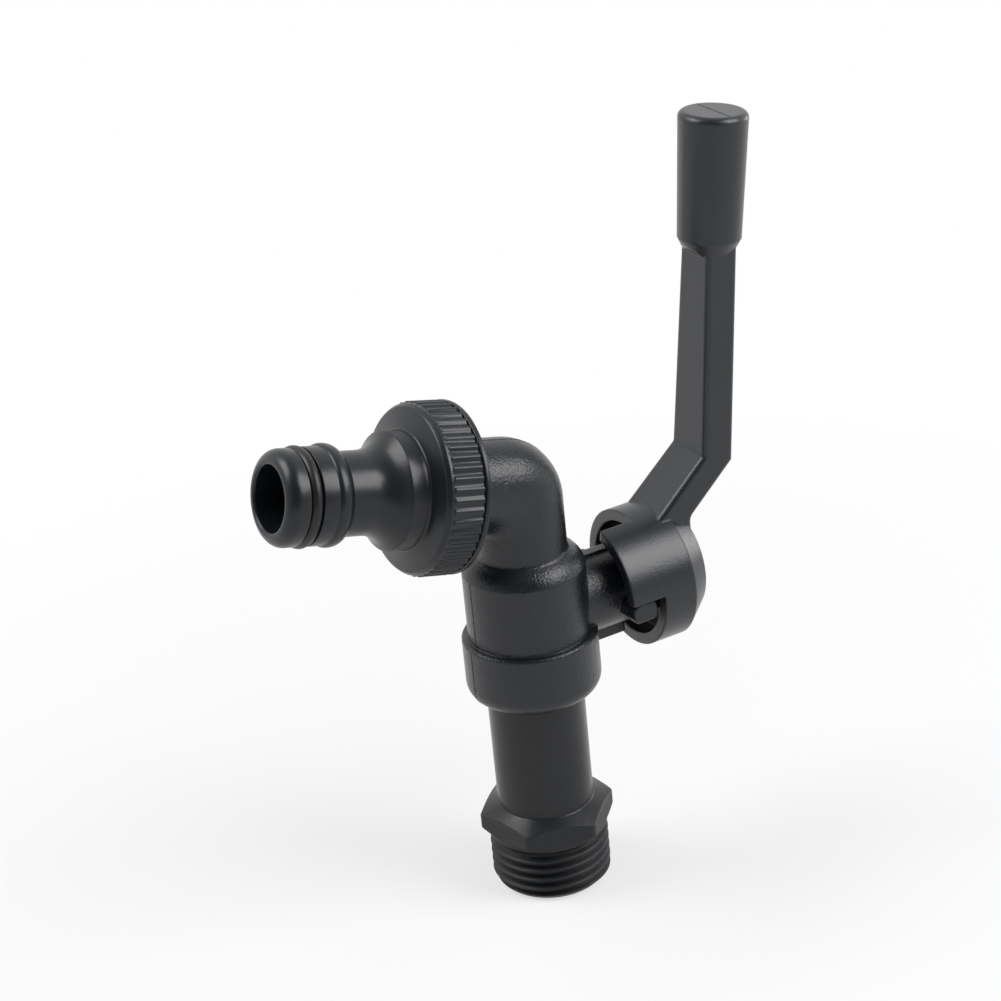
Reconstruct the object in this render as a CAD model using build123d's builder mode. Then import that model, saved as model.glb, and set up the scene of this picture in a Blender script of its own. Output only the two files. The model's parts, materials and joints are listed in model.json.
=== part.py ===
from build123d import *
import os
from math import cos, radians, sin, sqrt, tan

# Garden ball valve: a male inlet, an elbow body, a quarter-turn lever and a screwed hose adaptor.
# Sizes are millimetres. The origin is the centre of the hexagon's underside, where the inlet seats.
# +Z runs up the inlet and +X runs along the stem to the lever.
# The outlet leaves towards -X and rises. The lever stands open, in line with the inlet.

# Inlet tailpiece
thread_diameter = 20.955
thread_length = 10.9
thread_lead_in = 1.4
hexagon_across_flats = 21.0
hexagon_corner_height = 3.1
hexagon_cone_angle = 26.5
hexagon_turn = -17.5
tube_diameter = 16.9
tube_foot_round = 0.8
tube_fit = 0.05
inlet_bore = 11.0
tail_groove_height = 29.6
tail_groove_width = 2.2
tail_ring_section = 1.8
ring_play = 0.02

# Body
collar_diameter = 23.5
collar_bottom = 26.4
collar_top = 38.0
collar_lower_round = 3.2
collar_upper_round = 0.6
body_diameter = 21.2
slope_start = 50.3
slope_top = 53.4
slope_curve = 5.0
riser_round = 0.8
elbow_diameter = 15.6
bend_radius = 4.0
throat_radius = 2.0
throat_side = 0.5
throat_steps = 3
outlet_height = 65.9
outlet_tilt = 14.1
waterway = 11.0
outlet_thread_start = 13.3
outlet_thread_length = 4.9
outlet_lead_in = 0.5

# Ball and seats
stem_height = 41.15
ball_diameter = 16.4
ball_port = 10.0
ball_clearance = 0.12
seat_back = 8.1
seat_front = 5.1
slot_width = 3.2
slot_floor = 6.4
drive_play = 0.1

# Stem
tongue_width = 8.0
flange_start = 8.4
flange_thickness = 1.5
flange_diameter = 10.0
flange_clearance = 0.15
washer_thickness = 0.5
shaft_diameter = 9.0
shaft_clearance = 0.08
shaft_end = 16.6
stem_ring_section = 1.6
stem_groove_width = 1.9
stem_inner_groove = 12.1
stem_outer_groove = 14.8
square_size = 5.0
square_length = 3.8

# Stem neck, its ribs and its two stop lugs
neck_diameter = 13.9
neck_end = 23.6
rib_thickness = 1.8
upper_rib_height = 0.5
lower_rib_height = 2.6
rib_end = 18.4
lug_start = 14.4
lug_end = 19.1
lug_reach = 11.4
lug_height = 3.4
lug_round = 1.1
lug_edge_round = 0.35
stop_gap = 0.4
quarter_turn = 90.0

# Lever handle
hub_diameter = 24.6
hub_wall = 2.0
hub_mouth = 20.3
hub_web = 24.0
hub_rim = 26.5
hub_end = 30.4
hub_end_diameter = 19.0
hub_end_rise = 0.6
skirt_end = 14.0
skirt_from = 13.0
skirt_to = 85.2
crank_angle = 41.0
crank_thickness = 5.5
crank_out = 31.0
kink_out = 37.4
kink_height = 60.25
lever_lean = 6.3
lever_thickness = 6.05
lever_root_width = 10.8
lever_grip_width = 8.3
lever_edge_round = 0.9
kink_round = 0.6
root_round = 2.0
grip_start = 36.0
grip_taper = 2.6
grip_neck_diameter = 8.3
bevel_start = 36.0
bevel_length = 2.6
grip_lower_diameter = 11.0
grip_upper_diameter = 12.0
grip_end = 60.4
grip_round = 1.1

# Handle screw
screw_diameter = 3.2
screw_tip = 12.0
screw_head_diameter = 6.4
screw_head_height = 2.2
screw_seat = 26.6
screw_recess_diameter = 7.6
screw_play = 0.05

# Hose adaptor, measured along the outlet from where it crosses the inlet's axis
cap_rear = 13.2
cap_rim_length = 1.1
cap_rim_diameter = 28.6
cap_rim_chamfer = 0.4
knurl_diameter = 29.0
knurl_end = 19.9
front_rim_diameter = 28.4
front_rim_end = 20.4
face_rim = 21.1
face_rim_diameter = 27.4
cap_bore = 21.5
washer_seat = 19.8
shoulder_start = 21.9
shoulder_diameter = 19.86
shoulder_end = 25.1
spigot_diameter = 14.0
flare_end = 30.0
spigot_end = 33.9
latch_start = 36.4
latch_diameter = 16.96
nose_groove_start = 40.1
nose_groove_width = 2.25
nose_ring_section = 2.1
nose_ring_diameter = 16.7
nose_diameter = 16.0
nose_round_start = 43.9
nose_end = 46.1
nose_lip_diameter = 12.4
nose_bore = 10.9
nose_bore_lead_in = 0.5
washer_bore = 12.0
washer_diameter = 20.2

# Derived frame: the stem's plane and the outlet's axis
tilt = radians(outlet_tilt)
outlet_direction = Vector(-cos(tilt), 0, sin(tilt))
outlet_origin = Vector(0, 0, outlet_height)
outlet_axis = Axis(outlet_origin, outlet_direction)
outlet_plane = Plane(outlet_origin, x_dir=(0, 1, 0), z_dir=outlet_direction)
outlet_section = Plane(outlet_origin, x_dir=outlet_direction, z_dir=(0, -1, 0))
stem_plane = Plane((0, 0, stem_height), x_dir=(0, 1, 0), z_dir=(1, 0, 0))
stem_axis = Axis((0, 0, stem_height), (1, 0, 0))
stem_section = Plane((0, 0, stem_height), x_dir=(1, 0, 0), z_dir=(0, -1, 0))
chamber_diameter = tube_diameter + 2 * tube_fit
tail_top = stem_height - seat_back
chamber_top = stem_height + seat_back
shaft_bore = shaft_diameter + 2 * shaft_clearance
pocket_floor = flange_start + flange_thickness + washer_thickness
outlet_thread_end = outlet_thread_start + outlet_thread_length
hub_bore = hub_diameter - 2 * hub_wall

os.makedirs("parts", exist_ok=True)


# Inlet tailpiece: thread, hexagon with a coned top, and the tube that plugs into the collar
with BuildPart() as inlet_tailpiece:
    corner_radius = hexagon_across_flats / sqrt(3)
    cone_rise = corner_radius * tan(radians(hexagon_cone_angle))
    with BuildSketch():
        RegularPolygon(radius=corner_radius, side_count=6, rotation=hexagon_turn)
    extrude(amount=hexagon_corner_height + cone_rise)
    with BuildSketch(Plane.XZ):
        with BuildLine():
            Polyline(
                (0, 0),
                (corner_radius, 0),
                (corner_radius, hexagon_corner_height),
                (0, hexagon_corner_height + cone_rise),
                close=True,
            )
        make_face()
    revolve(axis=Axis.Z, mode=Mode.INTERSECT)
    with BuildSketch():
        Circle(tube_diameter / 2)
    extrude(amount=tail_top)
    foot_edges = inlet_tailpiece.edges().filter_by(GeomType.CIRCLE).sort_by(Axis.Z)
    fillet(foot_edges[-2], tube_foot_round)
    with BuildSketch():
        Circle(thread_diameter / 2)
    extrude(amount=-thread_length)
    chamfer(inlet_tailpiece.edges().group_by(Axis.Z)[0], thread_lead_in)
    with BuildSketch(Plane.XY.offset(tail_groove_height - tail_groove_width / 2)):
        Circle(tube_diameter / 2)
        Circle(chamber_diameter / 2 - tail_ring_section - 2 * ring_play, mode=Mode.SUBTRACT)
    extrude(amount=tail_groove_width, mode=Mode.SUBTRACT)
    with BuildSketch(Plane.XY.offset(-thread_length)):
        Circle(inlet_bore / 2)
    extrude(amount=thread_length + tail_top, mode=Mode.SUBTRACT)
inlet_tailpiece.part.label = "inlet_tailpiece"
export_step(inlet_tailpiece.part, "parts/inlet_tailpiece.step")

# Seal ring of the tailpiece
with BuildPart() as tailpiece_o_ring:
    with BuildSketch(Plane.XZ):
        with Locations((chamber_diameter / 2 - tail_ring_section / 2 - ring_play, tail_groove_height)):
            Circle(tail_ring_section / 2)
    revolve(axis=Axis.Z)
tailpiece_o_ring.part.label = "tailpiece_o_ring"
export_step(tailpiece_o_ring.part, "parts/tailpiece_o_ring.step")

# Body: collar, chamber, elbow, outlet thread, neck, ribs and stop lugs in one moulding
with BuildPart() as valve_body:
    with BuildSketch(Plane.XZ):
        with BuildLine():
            Polyline(
                (elbow_diameter / 2, slope_top),
                (0, slope_top),
                (0, collar_bottom),
                (collar_diameter / 2, collar_bottom),
                (collar_diameter / 2, collar_top),
                (body_diameter / 2, collar_top),
                (body_diameter / 2, slope_start),
            )
            RadiusArc(
                (body_diameter / 2, slope_start), (elbow_diameter / 2, slope_top), -slope_curve
            )
        make_face()
    revolve(axis=Axis.Z)
    rings = valve_body.edges().filter_by(GeomType.CIRCLE)
    fillet(rings.group_by(Axis.Z)[0], collar_lower_round)
    collar_edges = valve_body.edges().filter_by(GeomType.CIRCLE).filter_by_position(
        Axis.Z, collar_top, collar_top
    )
    fillet(collar_edges.sort_by(SortBy.RADIUS)[-1], collar_upper_round)
    # Elbow: a tight bend turns the section's outer side, and wider ones round the throat inside it
    turn = 90 - outlet_tilt
    throat_bend = elbow_diameter / 2 + throat_radius
    bend_reach = bend_radius * tan(radians(turn / 2))
    bend_height = outlet_height - bend_reach
    with BuildSketch(Plane.XY.offset(chamber_top)):
        Circle(elbow_diameter / 2)
    extrude(amount=bend_height - chamber_top)
    riser_edges = valve_body.edges().filter_by(GeomType.CIRCLE).filter_by_position(
        Axis.Z, slope_top, slope_top
    )
    fillet(riser_edges, riser_round)
    with BuildSketch(Plane.XY.offset(bend_height)):
        Circle(elbow_diameter / 2)
        with Locations((-bend_radius, 0)):
            Rectangle(elbow_diameter, elbow_diameter, align=(Align.MAX, Align.CENTER), mode=Mode.SUBTRACT)
    revolve(axis=Axis((-bend_radius, 0, bend_height), (0, -1, 0)), revolution_arc=turn)
    with BuildSketch(outlet_plane.offset(bend_reach)):
        Circle(elbow_diameter / 2)
    extrude(amount=outlet_thread_end - bend_reach)
    for step in range(1, throat_steps + 1):
        bend = bend_radius + (throat_bend - bend_radius) * step / throat_steps
        foot = outlet_height - bend * tan(radians(turn / 2))
        with BuildSketch(Plane.XY.offset(foot)):
            Circle(elbow_diameter / 2)
            with Locations((-throat_side, 0)):
                Rectangle(elbow_diameter, elbow_diameter, align=(Align.MIN, Align.CENTER), mode=Mode.SUBTRACT)
            with Locations((-bend, 0)):
                Rectangle(elbow_diameter, elbow_diameter, align=(Align.MAX, Align.CENTER), mode=Mode.SUBTRACT)
        revolve(axis=Axis((-bend, 0, foot), (0, -1, 0)), revolution_arc=turn)
    with BuildSketch(outlet_section):
        with BuildLine():
            Polyline(
                (outlet_thread_start, 0),
                (outlet_thread_start, thread_diameter / 2 - outlet_lead_in),
                (outlet_thread_start + outlet_lead_in, thread_diameter / 2),
                (outlet_thread_end - outlet_lead_in, thread_diameter / 2),
                (outlet_thread_end, thread_diameter / 2 - outlet_lead_in),
                (outlet_thread_end, 0),
                close=True,
            )
        make_face()
    revolve(axis=outlet_axis)
    # Stem neck with a rib above and below
    with BuildSketch(stem_plane):
        Circle(neck_diameter / 2)
    extrude(amount=neck_end)
    with BuildSketch(stem_plane):
        with Locations((0, (upper_rib_height - lower_rib_height) / 2)):
            Rectangle(rib_thickness, neck_diameter + upper_rib_height + lower_rib_height)
    extrude(amount=rib_end)
    # Stop lugs: the skirt's edge meets the front one when open and the back one a quarter turn later
    front_stop = hub_bore / 2 * cos(radians(skirt_to)) - stop_gap
    back_stop = hub_bore / 2 * cos(radians(quarter_turn - skirt_from)) - stop_gap
    for side, stop in ((-1, front_stop), (1, back_stop)):
        with BuildSketch(Plane((0, 0, stem_height), x_dir=(1, 0, 0), z_dir=(0, side, 0))):
            with Locations(((lug_start + lug_end) / 2, -side * (stop - lug_height / 2))):
                RectangleRounded(lug_end - lug_start, lug_height, lug_round)
        extrude(amount=lug_reach)
        fillet(valve_body.faces().sort_by(Axis((0, 0, 0), (0, side, 0)))[-1].edges(), lug_edge_round)
    # Chamber, waterway and stem bore
    with BuildSketch(Plane.XY.offset(collar_bottom)):
        Circle(chamber_diameter / 2)
    extrude(amount=chamber_top - collar_bottom, mode=Mode.SUBTRACT)
    with BuildSketch(Plane.XY.offset(chamber_top)):
        Circle(waterway / 2)
    extrude(amount=outlet_height - chamber_top, mode=Mode.SUBTRACT)
    with Locations(outlet_origin):
        Sphere(waterway / 2, mode=Mode.SUBTRACT)
    with BuildSketch(outlet_plane):
        Circle(waterway / 2)
    extrude(amount=outlet_thread_end, mode=Mode.SUBTRACT)
    with BuildSketch(stem_plane):
        Circle(flange_diameter / 2 + flange_clearance)
    extrude(amount=pocket_floor, mode=Mode.SUBTRACT)
    with BuildSketch(stem_plane):
        Circle(shaft_bore / 2)
    extrude(amount=neck_end, mode=Mode.SUBTRACT)
valve_body.part.label = "valve_body"
export_step(valve_body.part, "parts/valve_body.step")

# Ball: port along the inlet when open, drive slot across it
with BuildPart() as ball:
    with Locations((0, 0, stem_height)):
        Sphere(ball_diameter / 2)
        Cylinder(ball_port / 2, ball_diameter, mode=Mode.SUBTRACT)
    with BuildSketch(stem_plane.offset(slot_floor)):
        Rectangle(ball_diameter, slot_width)
    extrude(amount=ball_diameter / 2, mode=Mode.SUBTRACT)
ball.part.label = "ball"
export_step(ball.part, "parts/ball.step")

# Seats: one ring profile, turned about the inlet's axis, below and above the ball
seat_radius = ball_diameter / 2 + ball_clearance
seat_lip = sqrt(seat_radius**2 - seat_front**2)
seat_throat = sqrt(seat_radius**2 - (waterway / 2) ** 2)
with BuildPart() as inlet_seat:
    with BuildSketch(stem_section):
        with BuildLine():
            Polyline(
                (waterway / 2, -seat_throat),
                (waterway / 2, -seat_back),
                (tube_diameter / 2, -seat_back),
                (tube_diameter / 2, -seat_front),
                (seat_lip, -seat_front),
            )
            RadiusArc((seat_lip, -seat_front), (waterway / 2, -seat_throat), seat_radius)
        make_face()
    revolve(axis=Axis.Z)
inlet_seat.part.label = "inlet_seat"
export_step(inlet_seat.part, "parts/inlet_seat.step")

with BuildPart() as outlet_seat:
    mirror(inlet_seat.part, about=Plane.XY.offset(stem_height))
outlet_seat.part.label = "outlet_seat"
export_step(outlet_seat.part, "parts/outlet_seat.step")

# Stem: tongue in the ball's slot, flange inside the body, two seal grooves and a square drive
ring_floor = shaft_bore / 2 - stem_ring_section - 2 * ring_play
with BuildPart() as stem:
    with BuildSketch(stem_plane.offset(slot_floor + drive_play)):
        Rectangle(tongue_width, slot_width - 2 * drive_play)
    extrude(amount=flange_start - slot_floor)
    with BuildSketch(stem_plane.offset(flange_start)):
        Circle(flange_diameter / 2)
    extrude(amount=flange_thickness)
    with BuildSketch(stem_plane.offset(flange_start)):
        Circle(shaft_diameter / 2)
    extrude(amount=shaft_end - flange_start)
    with BuildSketch(stem_plane.offset(shaft_end)):
        Rectangle(square_size, square_size)
    extrude(amount=square_length)
    for groove in (stem_inner_groove, stem_outer_groove):
        with BuildSketch(stem_plane.offset(groove - stem_groove_width / 2)):
            Circle(shaft_diameter / 2)
            Circle(ring_floor, mode=Mode.SUBTRACT)
        extrude(amount=stem_groove_width, mode=Mode.SUBTRACT)
    with BuildSketch(stem_plane.offset(screw_tip - screw_play)):
        Circle(screw_diameter / 2 + screw_play)
    extrude(amount=shaft_end + square_length - screw_tip + screw_play, mode=Mode.SUBTRACT)
stem.part.label = "stem"
export_step(stem.part, "parts/stem.step")

# Thrust washer between the stem's flange and the body
with BuildPart() as stem_washer:
    with BuildSketch(stem_plane.offset(flange_start + flange_thickness)):
        Circle(flange_diameter / 2)
        Circle(shaft_bore / 2, mode=Mode.SUBTRACT)
    extrude(amount=washer_thickness)
stem_washer.part.label = "stem_washer"
export_step(stem_washer.part, "parts/stem_washer.step")

# Stem seal rings
stem_ring_radius = shaft_bore / 2 - ring_play - stem_ring_section / 2
with BuildPart() as stem_inner_o_ring:
    with BuildSketch(stem_section):
        with Locations((stem_inner_groove, stem_ring_radius)):
            Circle(stem_ring_section / 2)
    revolve(axis=stem_axis)
stem_inner_o_ring.part.label = "stem_inner_o_ring"
export_step(stem_inner_o_ring.part, "parts/stem_inner_o_ring.step")

with BuildPart() as stem_outer_o_ring:
    with BuildSketch(stem_section):
        with Locations((stem_outer_groove, stem_ring_radius)):
            Circle(stem_ring_section / 2)
    revolve(axis=stem_axis)
stem_outer_o_ring.part.label = "stem_outer_o_ring"
export_step(stem_outer_o_ring.part, "parts/stem_outer_o_ring.step")


def crossing(point, direction, other_point, other_direction):
    """Return where two lines of a plane cross."""
    apart = other_point - point
    across = direction.X * other_direction.Y - direction.Y * other_direction.X
    along = (apart.X * other_direction.Y - apart.Y * other_direction.X) / across
    return point + direction * along


# Lever handle: hub with a quadrant skirt, cranked lever and round grip in one moulding
lean = radians(lever_lean)
crank = radians(crank_angle)
blade_along = Vector(sin(lean), cos(lean))
blade_across = Vector(-cos(lean), sin(lean)) * (lever_thickness / 2)
crank_along = Vector(cos(crank), sin(crank))
crank_across = Vector(-sin(crank), cos(crank)) * (crank_thickness / 2)
kink = Vector(kink_out, kink_height)
inner_kink = crossing(kink + blade_across, blade_along, kink + crank_across, crank_along)
outer_kink = crossing(kink - blade_across, blade_along, kink - crank_across, crank_along)
upright = Vector(0, 1)
inner_root = crossing(kink + crank_across, crank_along, Vector(hub_web, 0), upright)
outer_root = crossing(kink - crank_across, crank_along, Vector(crank_out, 0), upright)
blade_top = kink + blade_along * (bevel_start + bevel_length)
root_height = stem_height + screw_recess_diameter / 2 + hub_wall
lever_foot = Vector(kink_out, 0, kink_height)
lever_line = Vector(sin(lean), 0, cos(lean))
lever_section = Plane(lever_foot, x_dir=lever_line, z_dir=(0, -1, 0))
with BuildPart() as lever_handle:
    with BuildSketch(Plane.XZ) as lever_profile:
        with BuildLine():
            Polyline(
                (hub_web, root_height),
                inner_root,
                inner_kink,
                blade_top + blade_across,
                blade_top - blade_across,
                outer_kink,
                outer_root,
                (crank_out, root_height),
                close=True,
            )
        make_face()
        kinks = ((inner_kink, kink_round), (outer_kink, kink_round), (outer_root, root_round))
        for corner, corner_round in kinks:
            fillet(lever_profile.vertices().sort_by_distance(corner)[0], corner_round)
    extrude(amount=lever_root_width / 2, both=True)
    with BuildSketch(Plane.YZ):
        with BuildLine():
            Polyline(
                (-lever_root_width / 2, root_height),
                (lever_root_width / 2, root_height),
                (lever_grip_width / 2, blade_top.Y + grip_taper),
                (-lever_grip_width / 2, blade_top.Y + grip_taper),
                close=True,
            )
        make_face()
    extrude(amount=2 * kink_out, mode=Mode.INTERSECT)
    fillet(lever_handle.edges().filter_by(Axis.Y, reverse=True).filter_by(GeomType.LINE), lever_edge_round)
    # Hub: coned outer end, hollow mouth and the spigot that turns in the neck
    with BuildSketch(stem_section):
        with BuildLine():
            Polyline(
                (shaft_end + stop_gap / 2, 0),
                (shaft_end + stop_gap / 2, shaft_diameter / 2),
                (hub_web, shaft_diameter / 2),
                (hub_web, hub_bore / 2),
                (hub_mouth, hub_bore / 2),
                (hub_mouth, hub_diameter / 2),
                (hub_rim, hub_diameter / 2),
                (hub_rim, 0),
                close=True,
            )
        make_face()
    revolve(axis=stem_axis)
    with BuildSketch(stem_plane.offset(hub_rim)):
        Circle(hub_diameter / 2)
    with BuildSketch(stem_plane.offset(hub_end)):
        with Locations((0, hub_end_rise)):
            Circle(hub_end_diameter / 2)
    loft()
    with BuildSketch(stem_plane.offset(skirt_end)):
        with BuildLine():
            outer_arc = CenterArc((0, 0), hub_diameter / 2, 90 + skirt_from, skirt_to - skirt_from)
            inner_arc = CenterArc((0, 0), hub_bore / 2, 90 + skirt_from, skirt_to - skirt_from)
            Line(outer_arc @ 0, inner_arc @ 0)
            Line(outer_arc @ 1, inner_arc @ 1)
        make_face()
    extrude(amount=hub_web - skirt_end)
    # Square socket on the stem, and the screw's hole and recess
    with BuildSketch(stem_plane.offset(shaft_end)):
        Rectangle(square_size + 2 * drive_play, square_size + 2 * drive_play)
    extrude(amount=square_length + drive_play, mode=Mode.SUBTRACT)
    with BuildSketch(stem_plane.offset(shaft_end)):
        Circle(screw_diameter / 2 + screw_play)
    extrude(amount=crank_out - shaft_end, mode=Mode.SUBTRACT)
    with BuildSketch(stem_plane.offset(screw_seat)):
        Circle(screw_recess_diameter / 2)
    extrude(amount=crank_out - screw_seat, mode=Mode.SUBTRACT)
    # Grip, turned about the lever's own line; its foot tapers to the lever's sides
    with BuildSketch(lever_section):
        with BuildLine():
            Polyline(
                (grip_start, 0),
                (grip_start, grip_neck_diameter / 2),
                (grip_start + grip_taper, grip_lower_diameter / 2),
                (grip_end, grip_upper_diameter / 2),
                (grip_end, 0),
                close=True,
            )
        make_face()
    revolve(axis=Axis(lever_foot, lever_line))
    # The lever's two flats run up into the grip and end in a bevel
    with BuildSketch(lever_section):
        for side in (1, -1):
            with BuildLine():
                Polyline(
                    (grip_start - grip_taper, side * lever_thickness / 2),
                    (bevel_start, side * lever_thickness / 2),
                    (bevel_start + bevel_length, side * grip_upper_diameter / 2),
                    (grip_start - grip_taper, side * grip_upper_diameter / 2),
                    close=True,
                )
            make_face()
    extrude(amount=grip_upper_diameter, both=True, mode=Mode.SUBTRACT)
    grip_edges = lever_handle.edges().filter_by(GeomType.CIRCLE)
    fillet(grip_edges.sort_by(Axis.Z)[-1], grip_round)
lever_handle.part.label = "lever_handle"
export_step(lever_handle.part, "parts/lever_handle.step")

# Handle screw, driven into the stem through the hub
with BuildPart() as handle_screw:
    with BuildSketch(stem_plane.offset(screw_tip)):
        Circle(screw_diameter / 2)
    extrude(amount=screw_seat - screw_tip)
    with BuildSketch(stem_plane.offset(screw_seat)):
        Circle(screw_head_diameter / 2)
    extrude(amount=screw_head_height)
    fillet(handle_screw.edges().group_by(Axis.X)[-1], screw_head_height / 2)
handle_screw.part.label = "handle_screw"
export_step(handle_screw.part, "parts/handle_screw.step")

# Hose adaptor: knurled cap, flared shoulder and quick-connect nozzle, turned about the outlet
nose_groove_end = nose_groove_start + nose_groove_width
nose_ring_floor = nose_ring_diameter / 2 - nose_ring_section - ring_play
with BuildPart() as hose_adaptor:
    with BuildSketch(outlet_section):
        with BuildLine():
            Polyline(
                (shoulder_end, shoulder_diameter / 2),
                (shoulder_start, shoulder_diameter / 2),
                (face_rim, face_rim_diameter / 2),
                (front_rim_end, front_rim_diameter / 2),
                (knurl_end, front_rim_diameter / 2),
                (knurl_end, knurl_diameter / 2),
                (cap_rear + cap_rim_length, knurl_diameter / 2),
                (cap_rear + cap_rim_length, cap_rim_diameter / 2),
                (cap_rear + cap_rim_chamfer, cap_rim_diameter / 2),
                (cap_rear, cap_rim_diameter / 2 - cap_rim_chamfer),
                (cap_rear, cap_bore / 2),
                (washer_seat, cap_bore / 2),
                (washer_seat, nose_bore / 2),
                (nose_end - nose_bore_lead_in, nose_bore / 2),
                (nose_end, nose_bore / 2 + nose_bore_lead_in),
                (nose_end, nose_lip_diameter / 2),
            )
            TangentArc(
                (nose_round_start, nose_diameter / 2), (nose_end, nose_lip_diameter / 2), tangent=(1, 0)
            )
            Polyline(
                (nose_round_start, nose_diameter / 2),
                (nose_groove_end, nose_diameter / 2),
                (nose_groove_end, nose_ring_floor),
                (nose_groove_start, nose_ring_floor),
                (nose_groove_start, latch_diameter / 2),
                (latch_start, latch_diameter / 2),
            )
            TangentArc(
                (latch_start, latch_diameter / 2), (spigot_end, spigot_diameter / 2), tangent=(-1, 0)
            )
            Line((spigot_end, spigot_diameter / 2), (flare_end, spigot_diameter / 2))
            TangentArc(
                (flare_end, spigot_diameter / 2), (shoulder_end, shoulder_diameter / 2), tangent=(-1, 0)
            )
        make_face()
    revolve(axis=outlet_axis)
hose_adaptor.part.label = "hose_adaptor"
export_step(hose_adaptor.part, "parts/hose_adaptor.step")

# Nozzle seal ring
with BuildPart() as nose_o_ring:
    with BuildSketch(outlet_section):
        with Locations(
            (nose_groove_start + nose_groove_width / 2, nose_ring_diameter / 2 - nose_ring_section / 2)
        ):
            Circle(nose_ring_section / 2)
    revolve(axis=outlet_axis)
nose_o_ring.part.label = "nose_o_ring"
export_step(nose_o_ring.part, "parts/nose_o_ring.step")

# Flat washer between the outlet and the adaptor
with BuildPart() as sealing_washer:
    with BuildSketch(outlet_plane.offset(outlet_thread_end)):
        Circle(washer_diameter / 2)
        Circle(washer_bore / 2, mode=Mode.SUBTRACT)
    extrude(amount=washer_seat - outlet_thread_end)
sealing_washer.part.label = "sealing_washer"
export_step(sealing_washer.part, "parts/sealing_washer.step")
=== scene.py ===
"""Looks of a garden ball valve: its moulded body, lever, hose adaptor and inlet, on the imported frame.

Sizes are millimetres unless a name says otherwise, and meshes are written in metres.
+Z runs up the inlet, +X along the stem to the lever, and the outlet leaves towards -X.
"""

import json
import logging
import math
from collections.abc import Callable, Mapping, Sequence
from dataclasses import dataclass
from enum import Enum

import bmesh
import bpy
from mathutils import Matrix, Vector


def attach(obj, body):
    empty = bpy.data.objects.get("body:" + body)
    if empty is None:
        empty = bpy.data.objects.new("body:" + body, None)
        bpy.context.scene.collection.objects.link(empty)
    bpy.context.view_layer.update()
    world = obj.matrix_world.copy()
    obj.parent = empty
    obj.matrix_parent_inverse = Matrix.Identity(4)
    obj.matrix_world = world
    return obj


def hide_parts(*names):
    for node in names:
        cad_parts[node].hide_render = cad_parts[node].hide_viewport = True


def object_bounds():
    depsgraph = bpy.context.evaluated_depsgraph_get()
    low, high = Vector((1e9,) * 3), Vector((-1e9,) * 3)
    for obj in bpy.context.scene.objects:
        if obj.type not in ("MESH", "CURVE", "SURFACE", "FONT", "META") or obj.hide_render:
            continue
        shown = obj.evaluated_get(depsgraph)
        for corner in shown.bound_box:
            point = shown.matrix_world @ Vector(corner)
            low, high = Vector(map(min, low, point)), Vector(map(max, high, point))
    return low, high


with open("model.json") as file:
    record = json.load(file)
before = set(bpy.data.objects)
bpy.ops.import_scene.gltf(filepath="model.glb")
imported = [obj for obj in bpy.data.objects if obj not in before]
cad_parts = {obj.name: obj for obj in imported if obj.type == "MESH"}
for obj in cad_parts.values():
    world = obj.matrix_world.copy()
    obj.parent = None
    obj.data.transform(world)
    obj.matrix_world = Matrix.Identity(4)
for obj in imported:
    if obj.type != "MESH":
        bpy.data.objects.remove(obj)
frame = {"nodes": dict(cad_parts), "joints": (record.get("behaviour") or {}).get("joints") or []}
cad_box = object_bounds()

MM = 0.001
MERGE_DISTANCE = 1e-6
SHARP_EDGE_DEG = 38.0
WHITE = "#ffffff"

# A wave texture's rings lie this far apart at a scale of one
WAVE_STEP = math.pi / 10

# The mix node repeats its sockets' names for each data type, so they go by place
MIX_FACTOR = 0
MIX_FLOAT_A = 2
MIX_FLOAT_B = 3
MIX_FLOAT_RESULT = 0
MIX_COLOUR_A = 6
MIX_COLOUR_B = 7
MIX_COLOUR_RESULT = 2

# A bead's section, from its foot over its top: shares of its width and of its height
BEAD_SECTION = (
    (-0.5, -1.0),
    (-0.5, 0.0),
    (-0.25, 0.8),
    (0.0, 1.0),
    (0.25, 0.8),
    (0.5, 0.0),
    (0.5, -1.0),
)

log = logging.getLogger("garden_valve")

Outline = list[tuple[float, float]]
Corners = Sequence[tuple[float, float, float]]
Section = Callable[[float], Outline]
NodeKey = str | int


class Body(Enum):
    """The rigid bodies that pieces ride on."""

    VALVE = "valve"
    HANDLE = "handle"
    ADAPTOR = "adaptor"


class Slot(Enum):
    """Names for material slots; no piece here is given one."""

    BODY = "moulded_body"
    LEVER = "moulded_lever"
    ADAPTOR = "moulded_adaptor"
    SCREW = "screw_steel"


# Finishes


def linear(hex_colour: str) -> tuple[float, float, float, float]:
    """Turn an sRGB hex colour into linear light.

    Args:
        hex_colour: Colour written as #rrggbb.

    Returns:
        Red, green, blue and an alpha of one.
    """
    shares = [int(hex_colour[place : place + 2], 16) / 255 for place in (1, 3, 5)]
    light = [s / 12.92 if s <= 0.04045 else ((s + 0.055) / 1.055) ** 2.4 for s in shares]
    return (light[0], light[1], light[2], 1.0)


def add_node(
    tree: bpy.types.NodeTree,
    kind: str,
    settings: Mapping[NodeKey, object] | None = None,
    links: Mapping[NodeKey, bpy.types.NodeSocket] | None = None,
) -> bpy.types.Node:
    """Add one node with its settings and links.

    Args:
        tree: Node tree that gets the node.
        kind: Blender's name for the kind of node.
        settings: Values by the node's own property, or else by input.
        links: Output sockets by the input that each one feeds.

    Returns:
        The new node.
    """
    node = tree.nodes.new(kind)
    for key, value in (settings or {}).items():
        if isinstance(key, str) and hasattr(node, key):
            setattr(node, key, value)
        else:
            node.inputs[key].default_value = value
    for key, socket in (links or {}).items():
        tree.links.new(socket, node.inputs[key])
    return node


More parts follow.
